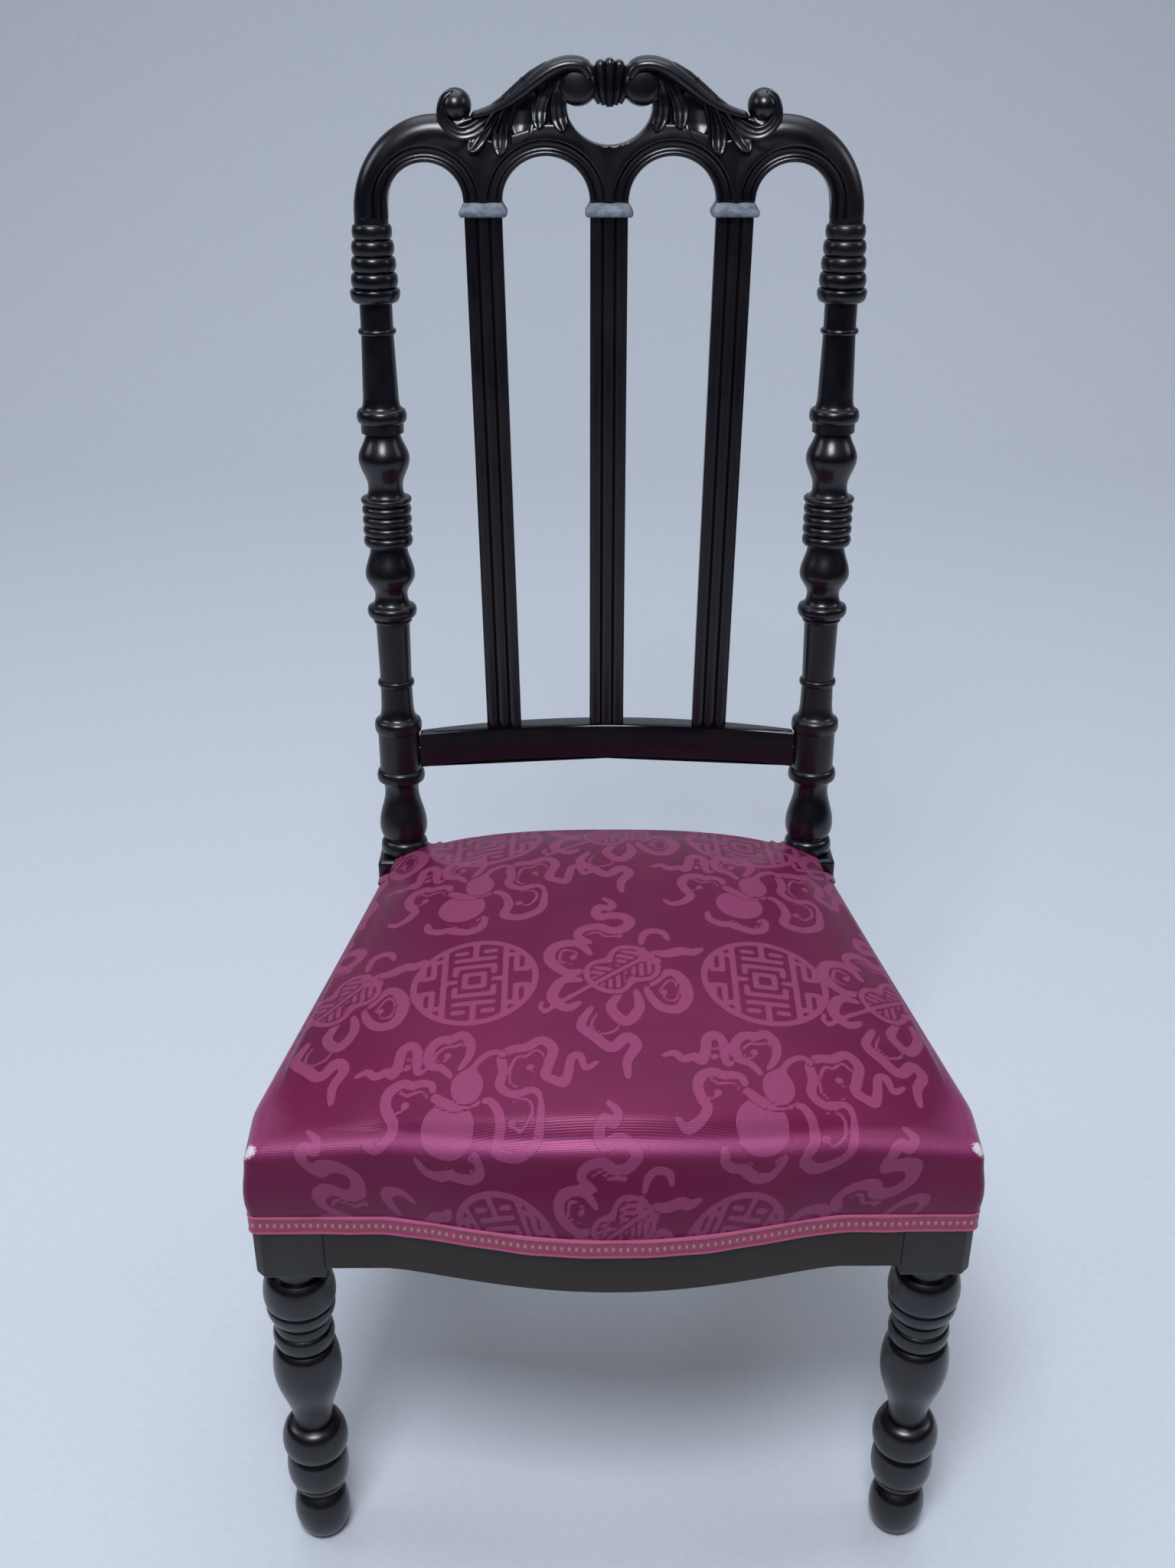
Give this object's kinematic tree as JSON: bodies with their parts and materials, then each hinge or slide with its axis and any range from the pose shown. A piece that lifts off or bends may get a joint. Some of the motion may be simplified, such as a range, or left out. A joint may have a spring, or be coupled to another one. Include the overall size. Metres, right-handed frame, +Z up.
{
  "type": "balloon back chair",
  "caption": "Low ebonised side chair with an arcaded, carved rounded back, reeded splats, turned front legs, raked rear legs and a braided, stuffed-over damask seat.",
  "frame": {"origin": "on the floor, under the middle of the chair's bounding box", "axes": "+Z up, the sitter faces -Y, +X to the right of someone who looks at the chair from the front"},
  "size_m": [0.4796, 0.4638, 0.9725],
  "materials": {
    "ebonised_wood": "satin ebonised polish, near black with a cool sheen",
    "show_wood": "satin ebonised polish, worn a little brown",
    "grey_capital": "dull grey",
    "raw_beech": "bare, hidden",
    "screw_steel": "plain, hidden",
    "jute": "coarse weave, hidden",
    "stuffing": "stitched hair pad, hidden",
    "damask": "satin damask, rose figures on wine",
    "braid": "woven braid"
  },
  "bodies": {
    "root": {"front_leg_right": "ebonised_wood", "front_leg_left": "ebonised_wood", "back_post_right": "ebonised_wood", "back_post_left": "ebonised_wood", "front_seat_rail": "show_wood", "side_seat_rail_right": "show_wood", "side_seat_rail_left": "show_wood", "back_seat_rail": "show_wood", "rail_dowel_front_lower_right": "raw_beech", "rail_dowel_front_lower_left": "raw_beech", "rail_dowel_side_front_lower_right": "raw_beech", "rail_dowel_side_front_lower_left": "raw_beech", "rail_dowel_side_rear_lower_right": "raw_beech", "rail_dowel_side_rear_lower_left": "raw_beech", "rail_dowel_back_lower_right": "raw_beech", "rail_dowel_back_lower_left": "raw_beech", "rail_dowel_front_upper_right": "raw_beech", "rail_dowel_front_upper_left": "raw_beech", "rail_dowel_side_front_upper_right": "raw_beech", "rail_dowel_side_front_upper_left": "raw_beech", "rail_dowel_side_rear_upper_right": "raw_beech", "rail_dowel_side_rear_upper_left": "raw_beech", "rail_dowel_back_upper_right": "raw_beech", "rail_dowel_back_upper_left": "raw_beech", "corner_block_front_right": "raw_beech", "corner_block_front_left": "raw_beech", "corner_block_back_right": "raw_beech", "corner_block_back_left": "raw_beech", "block_screw_front_right": "screw_steel", "block_screw_front_left": "screw_steel", "block_screw_side_front_right": "screw_steel", "block_screw_side_front_left": "screw_steel", "block_screw_side_rear_right": "screw_steel", "block_screw_side_rear_left": "screw_steel", "block_screw_back_right": "screw_steel", "block_screw_back_left": "screw_steel", "crest_rail": "ebonised_wood", "lower_back_rail": "ebonised_wood", "splat_left": "ebonised_wood", "splat_middle": "ebonised_wood", "splat_right": "ebonised_wood", "capital_left": "grey_capital", "capital_middle": "grey_capital", "capital_right": "grey_capital", "webbing_lengthwise_1": "jute", "webbing_lengthwise_2": "jute", "webbing_lengthwise_3": "jute", "webbing_lengthwise_4": "jute", "webbing_crosswise_1": "jute", "webbing_crosswise_2": "jute", "webbing_crosswise_3": "jute", "webbing_crosswise_4": "jute", "hessian_sheet": "jute", "seat_stuffing": "stuffing", "seat_cover": "damask", "gimp_braid": "braid", "gimp_braid_back": "braid"}
  },
  "joints": []
}
